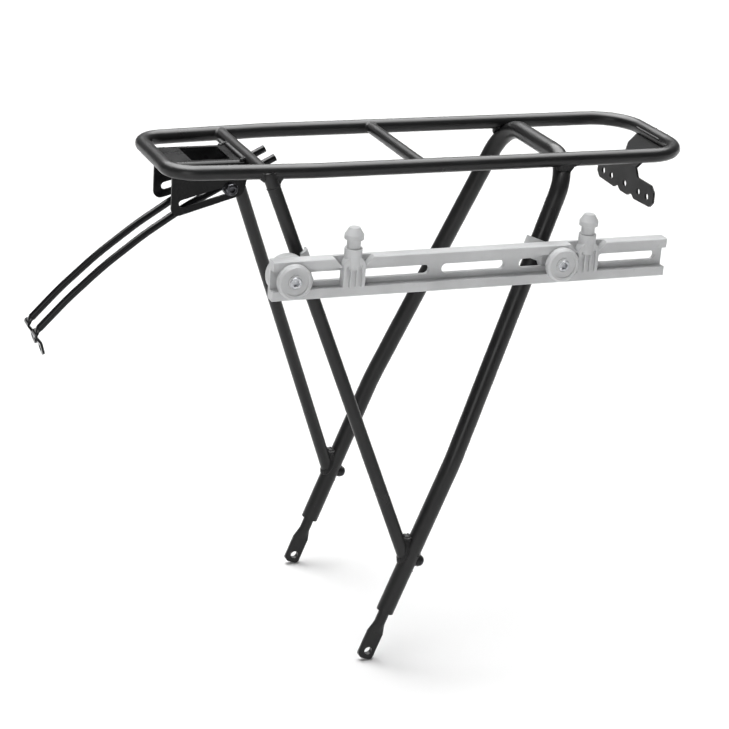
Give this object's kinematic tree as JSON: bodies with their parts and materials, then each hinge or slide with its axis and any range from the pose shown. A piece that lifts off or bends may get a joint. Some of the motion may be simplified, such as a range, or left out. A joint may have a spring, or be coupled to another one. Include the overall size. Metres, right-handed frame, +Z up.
{
  "type": "bicycle rear rack",
  "caption": "Tubular rear carrier for a bicycle: flat deck on forked legs with adjustable feet, bowed front stays in a slotted bracket, a light plate and a slotted pannier rail on one side.",
  "frame": {"origin": "midway between the two foot eyes, on the line through both", "axes": "+X to the bicycle's rear, +Y to the bicycle's right, +Z up"},
  "size_m": [0.5545, 0.2071, 0.4324],
  "materials": {
    "frame_tube": "satin black powder coat",
    "bracket_sheet": "semi-gloss black powder coat",
    "plate_sheet": "satin black powder coat",
    "foot_alloy": "satin black",
    "black_screw": "blackened steel, slightly worn",
    "stay_rod": "gloss black",
    "stay_tab": "gloss black over flattened steel",
    "rail_plastic": "pale grey, fine texture",
    "stud_plastic": "pale grey, fine texture",
    "rail_bolt": "zinc plated",
    "steel_screw": "zinc plated"
  },
  "bodies": {
    "rack": {"deck_loop": "frame_tube", "front_cross_tube": "frame_tube", "middle_cross_tube": "frame_tube", "rear_hoop": "frame_tube", "front_bracket": "bracket_sheet", "light_plate": "plate_sheet", "front_leg_left": "frame_tube", "leg_gusset_left": "frame_tube", "foot_screw_left": "black_screw", "foot_screw_boss_left": "frame_tube", "front_leg_right": "frame_tube", "leg_gusset_right": "frame_tube", "foot_screw_right": "black_screw", "foot_screw_boss_right": "frame_tube", "rail_knob_front": "rail_plastic", "rail_bolt_front": "rail_bolt", "rail_jaw_front": "rail_plastic", "rail_knob_rear": "rail_plastic", "rail_bolt_rear": "rail_bolt", "rail_jaw_rear": "rail_plastic"},
    "foot_left": {"foot_left": "foot_alloy"},
    "stay_carriage_left": {"stay_clamp_screw_left": "black_screw", "stay_clamp_washer_left": "black_screw"},
    "stay_eye_left": {"stay_clamp_barrel_left": "black_screw"},
    "stay_left": {"stay_rod_left": "stay_rod", "stay_tab_left": "stay_tab"},
    "foot_right": {"foot_right": "foot_alloy"},
    "stay_carriage_right": {"stay_clamp_screw_right": "black_screw", "stay_clamp_washer_right": "black_screw"},
    "stay_eye_right": {"stay_clamp_barrel_right": "black_screw"},
    "stay_right": {"stay_rod_right": "stay_rod", "stay_tab_right": "stay_tab"},
    "side_rail": {"side_rail": "rail_plastic", "rail_stud_front": "stud_plastic", "rail_stud_rear": "stud_plastic", "rail_stud_screws": "steel_screw"}
  },
  "joints": [
    {"name": "foot_slide_left", "type": "slide", "parent": "rack", "child": "foot_left", "axis": [-0.3584, 0, -0.9336], "range_m": [-0.01, 0.03]},
    {"name": "stay_slot_left", "type": "slide", "parent": "rack", "child": "stay_carriage_left", "axis": [-0.9657, 0, -0.2598], "range_m": [0, 0.038]},
    {"name": "stay_pivot_left", "type": "hinge", "parent": "stay_carriage_left", "child": "stay_eye_left", "pos_m": [-0.1182, -0.013, 0.3956], "axis": [0, 1, 0], "range_deg": [-3, 30]},
    {"name": "stay_reach_left", "type": "slide", "parent": "stay_eye_left", "child": "stay_left", "axis": [-0.891, 0, -0.454], "range_m": [-0.018, 0.03]},
    {"name": "foot_slide_right", "type": "slide", "parent": "rack", "child": "foot_right", "axis": [-0.3584, 0, -0.9336], "range_m": [-0.01, 0.03]},
    {"name": "stay_slot_right", "type": "slide", "parent": "rack", "child": "stay_carriage_right", "axis": [-0.9657, 0, -0.2598], "range_m": [0, 0.038]},
    {"name": "stay_pivot_right", "type": "hinge", "parent": "stay_carriage_right", "child": "stay_eye_right", "pos_m": [-0.1182, 0.013, 0.3956], "axis": [0, 1, 0], "range_deg": [-3, 30]},
    {"name": "stay_reach_right", "type": "slide", "parent": "stay_eye_right", "child": "stay_right", "axis": [-0.891, 0, -0.454], "range_m": [-0.018, 0.03]},
    {"name": "side_rail_slide", "type": "slide", "parent": "rack", "child": "side_rail", "axis": [1, 0, 0], "range_m": [0, 0.005]}
  ]
}
